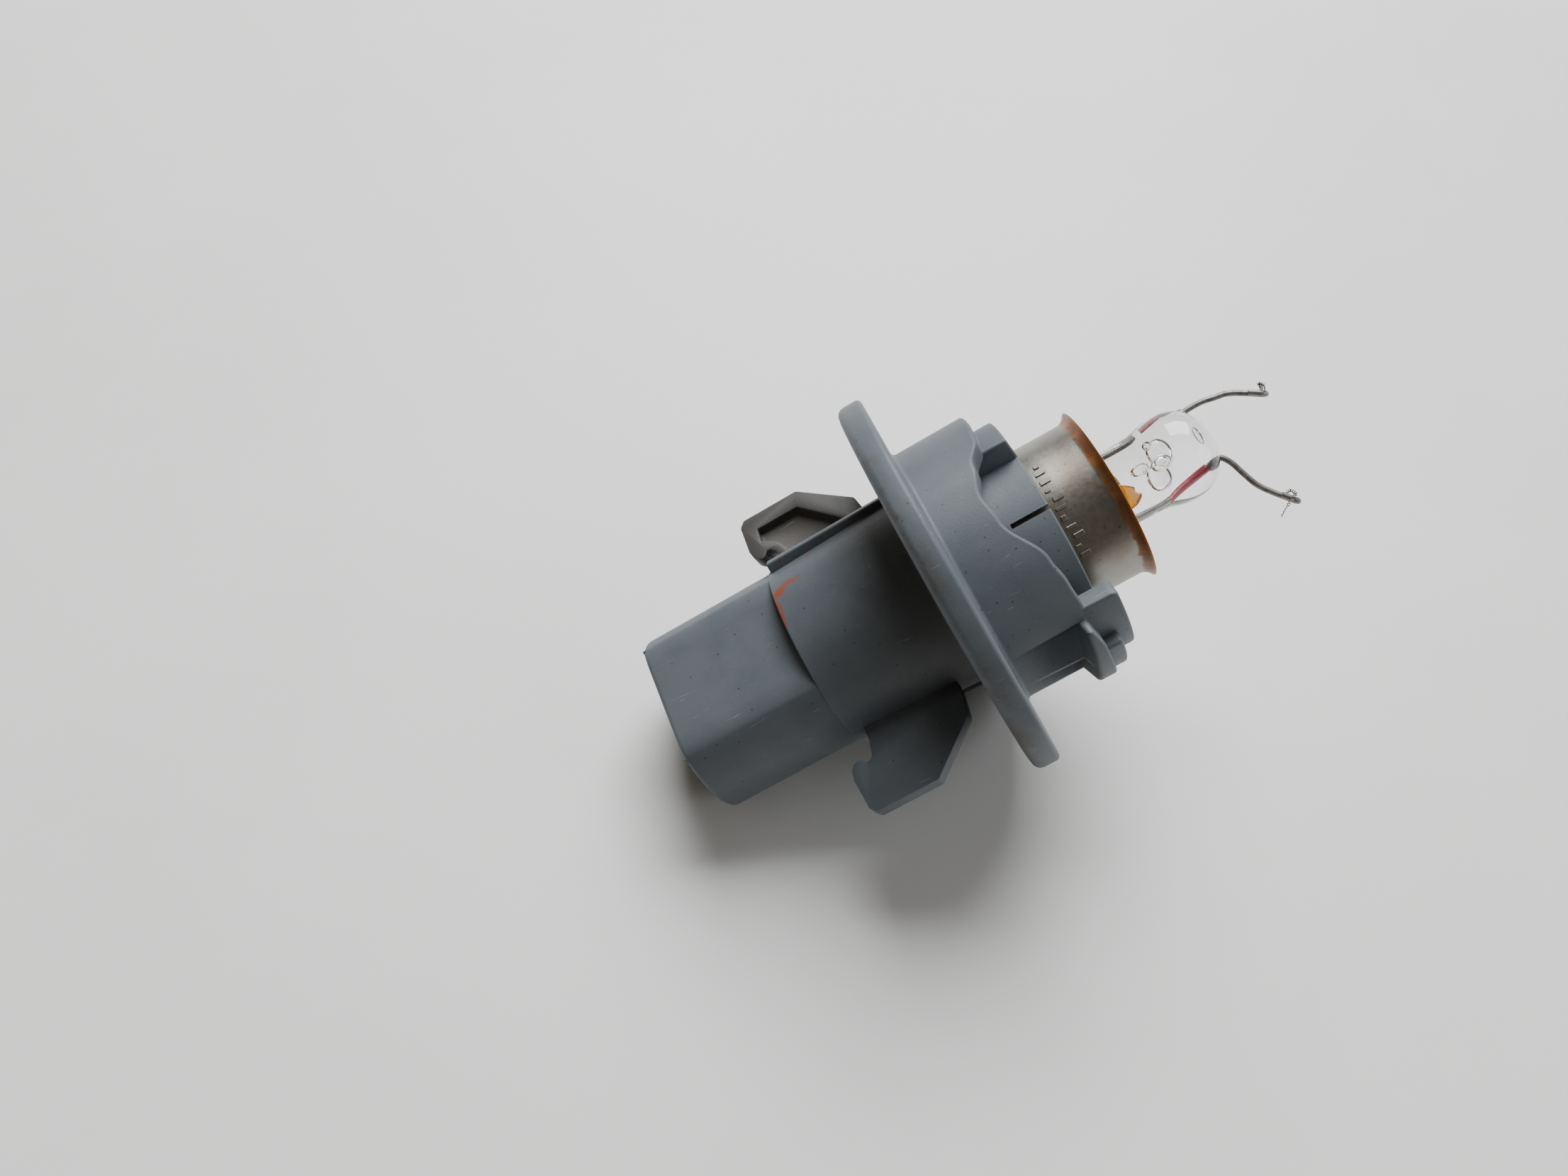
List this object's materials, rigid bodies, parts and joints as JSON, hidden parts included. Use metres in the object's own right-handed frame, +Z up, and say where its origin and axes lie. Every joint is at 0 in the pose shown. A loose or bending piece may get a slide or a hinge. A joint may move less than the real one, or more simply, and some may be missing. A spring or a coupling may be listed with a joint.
{
  "type": "twist-lock lamp holder with broken bayonet bulb",
  "caption": "Round-flanged twist-lock lamp holder with a two-blade connector shroud and finger wings, holding the cap, glass stem and wires of a broken amber bayonet bulb.",
  "frame": {"origin": "on the bench, under the middle of the part's box, as it lies on its flange rim and connector shroud", "axes": "+Z up from the bench; +X along the part's length, towards the bulb end, which is raised; +Y towards one finger wing"},
  "size_m": [0.0574, 0.0372, 0.0347],
  "materials": {
    "grey_moulding": "matte blue-grey moulded plastic, scuffed and grimy",
    "tinned_brass": "tin-plated brass strip",
    "spring_steel": "drawn steel wire",
    "fibre_board": "brown fibre board",
    "bare_brass": "dull brass",
    "nickel_plate": "satin nickel plate with tarnish and an orange lacquer band at the rim",
    "black_glass": "glossy black glass",
    "solder": "dull tin solder",
    "basing_cement": "baked basing cement",
    "amber_glass": "broken amber glass",
    "clear_glass": "clear glass",
    "lead_wire": "dull heat-darkened wire",
    "seal_wire": "copper-clad sealing wire, red through the glass",
    "filament": "dark coiled wire"
  },
  "bodies": {
    "holder": {"holder_body": "grey_moulding", "supply_terminal": "tinned_brass", "earth_terminal": "tinned_brass", "contact_spring": "spring_steel"},
    "contact_plunger": {"contact_disc": "fibre_board", "contact_button": "bare_brass"},
    "bulb": {"cap_shell": "nickel_plate", "bayonet_pin_1": "nickel_plate", "bayonet_pin_2": "nickel_plate", "base_insulator": "black_glass", "centre_contact": "bare_brass", "contact_solder": "solder", "basing_cement": "basing_cement", "envelope_stub": "amber_glass", "glass_stem": "clear_glass", "exhaust_tube": "clear_glass", "inner_lead_supply": "lead_wire", "inner_lead_earth": "lead_wire", "seal_wire_supply": "seal_wire", "seal_wire_earth": "seal_wire", "support_wire_supply": "lead_wire", "support_wire_earth": "lead_wire", "filament_remnant_supply": "filament", "filament_remnant_earth": "filament"}
  },
  "joints": [
    {"name": "bulb_push", "type": "slide", "parent": "holder", "child": "contact_plunger", "axis": [-0.9152, 0, -0.4029], "range_m": [0, 0.0015], "stiffness_N_per_m": 2500, "deforming": ["contact_spring"]},
    {"name": "bulb_turn", "type": "hinge", "parent": "contact_plunger", "child": "bulb", "pos_m": [0.00023, 0, 0.01782], "axis": [0.9152, 0, 0.4029], "range_deg": [0, 25]}
  ]
}
